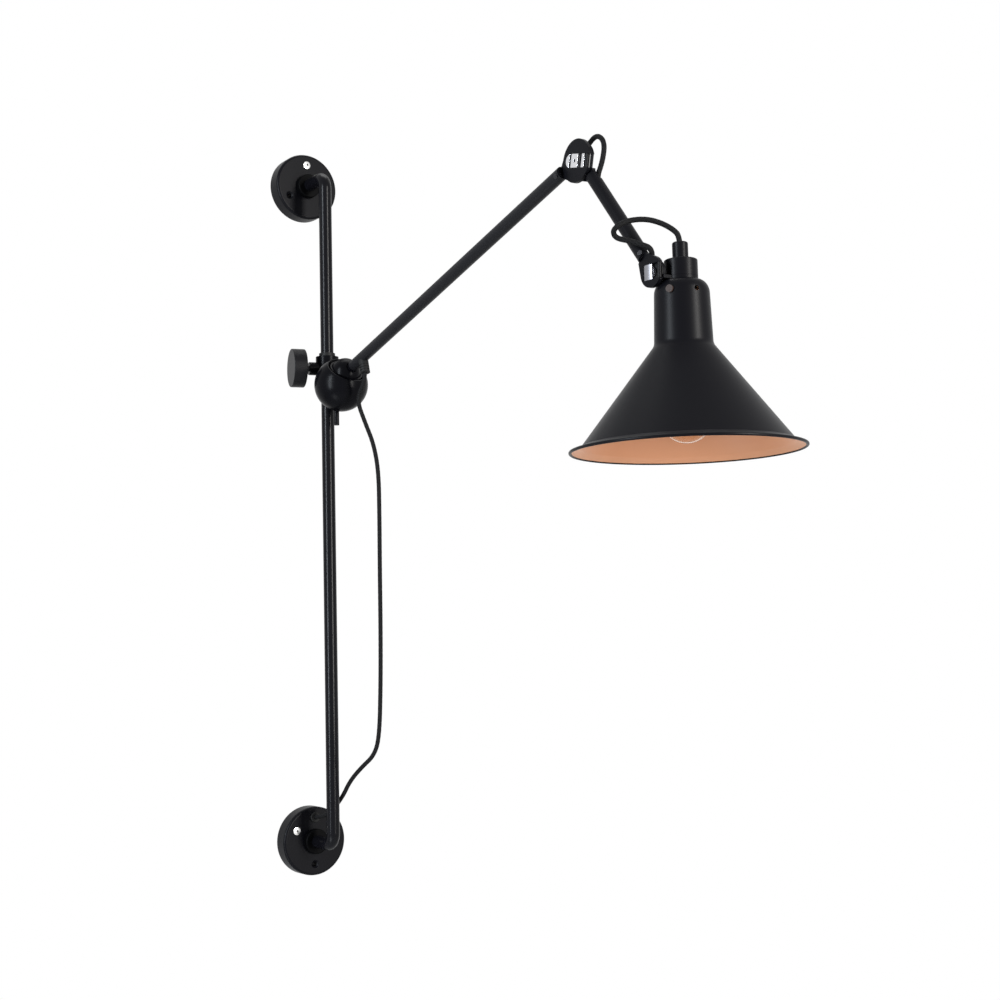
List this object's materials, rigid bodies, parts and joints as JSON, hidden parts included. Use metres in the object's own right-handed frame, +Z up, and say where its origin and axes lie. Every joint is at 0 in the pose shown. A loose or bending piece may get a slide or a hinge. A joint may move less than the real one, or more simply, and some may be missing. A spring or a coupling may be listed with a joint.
{
  "type": "articulated wall lamp",
  "caption": "Wall lamp with a fixed bar between round rosettes, a sliding clamp with a ball joint, a jointed arm, a conical shade and a textile cable.",
  "frame": {"origin": "centre of the top rosette's back face, on the wall", "axes": "+Y into the wall, +Z up along the bar, +X to the right when facing the wall"},
  "size_m": [0.1926, 0.7239, 0.8062],
  "materials": {
    "black_paint": "satin black powder coat",
    "black_plastic": "matte moulded",
    "black_rubber": "matte",
    "black_fabric": "braided textile sheath",
    "chrome": "polished",
    "steel": "zinc plated",
    "brass": "plain",
    "bulb_glass": "frosted"
  },
  "bodies": {
    "root": {"top_rosette": "black_paint", "bottom_rosette": "black_paint", "bar_tube": "black_paint", "top_boss": "black_paint", "bottom_boss": "black_paint", "top_lock_nut": "steel", "bottom_lock_nut": "steel", "cable_grommet": "black_rubber", "terminal_block": "black_plastic", "power_cable": "black_fabric"},
    "bush": {"slide_bush": "black_plastic", "bush_clip": "steel"},
    "slider": {"slider_body": "black_paint", "retaining_ring": "black_paint", "seat_spring": "steel", "tension_stud": "steel"},
    "clamp": {"clamp_shoe": "black_plastic"},
    "knob": {"clamp_knob": "black_plastic", "clamp_screw": "steel"},
    "seat": {"ball_seat": "black_plastic"},
    "ball": {"swivel_ball": "black_paint", "ball_stem": "black_paint"},
    "lower_arm": {"lower_tube": "black_paint", "cable_ferrule": "black_rubber", "lower_cable": "black_fabric", "lower_jaw": "black_paint", "lower_rivet": "steel", "elbow_pivot": "chrome", "elbow_pin": "steel", "elbow_nut": "steel", "elbow_loop": "black_fabric"},
    "upper_arm": {"upper_tube": "black_paint", "upper_jaw": "black_paint", "elbow_washer": "chrome", "upper_cable": "black_fabric", "wrist_jaw": "black_paint", "wrist_pin": "steel", "wrist_rivet": "steel", "wrist_pivot": "chrome", "wrist_nut": "steel", "head_loop": "black_fabric"},
    "head": {"wrist_washer": "chrome", "head_bracket": "black_paint", "holder_cap": "black_paint", "cable_gland": "black_paint", "holder_nipple": "brass", "shade": "black_paint", "shade_screw_1": "steel", "shade_screw_2": "steel", "lampholder": "black_plastic", "bulb_base": "brass", "bulb_glass": "bulb_glass"}
  },
  "joints": [
    {"name": "slider_slide", "type": "slide", "parent": "root", "child": "bush", "axis": [0, 0, 1], "range_m": [-0.38, 0.15], "deforming": ["power_cable"]},
    {"name": "slider_swivel", "type": "hinge", "parent": "bush", "child": "slider", "pos_m": [0, -0.0615, -0.22], "axis": [0, 0, 1], "range_deg": [-70, 70], "deforming": ["power_cable"]},
    {"name": "clamp_travel", "type": "slide", "parent": "slider", "child": "clamp", "axis": [-0.9703, 0.2419, 0], "range_m": [0, 0.0021]},
    {"name": "knob_turn", "type": "hinge", "parent": "clamp", "child": "knob", "pos_m": [0, -0.0615, -0.2159], "axis": [-0.9703, 0.2419, 0], "range_deg": [0, 720]},
    {"name": "ball_spin", "type": "hinge", "parent": "slider", "child": "seat", "pos_m": [0, -0.1033, -0.2267], "axis": [0, -0.6656, 0.7463], "range_deg": [-40, 40], "deforming": ["power_cable"]},
    {"name": "ball_tilt", "type": "hinge", "parent": "seat", "child": "ball", "pos_m": [0, -0.1033, -0.2267], "axis": [1, 0, 0], "range_deg": [-62, 9], "deforming": ["power_cable"]},
    {"name": "arm_roll", "type": "hinge", "parent": "ball", "child": "lower_arm", "pos_m": [0, -0.1033, -0.2267], "axis": [0, -0.9611, 0.2761], "range_deg": [-30, 30], "deforming": ["power_cable"]},
    {"name": "elbow", "type": "hinge", "parent": "lower_arm", "child": "upper_arm", "pos_m": [0, -0.52725, -0.10489], "axis": [1, 0, 0], "range_deg": [-60, 45], "deforming": ["elbow_loop"]},
    {"name": "head_tilt", "type": "hinge", "parent": "upper_arm", "child": "head", "pos_m": [0, -0.61817, -0.22015], "axis": [1, 0, 0], "range_deg": [-70, 45], "deforming": ["head_loop"]}
  ],
  "couplings": [
    {"joint": "clamp_travel", "follows": "knob_turn", "m_per_rad": 0.00015915}
  ]
}
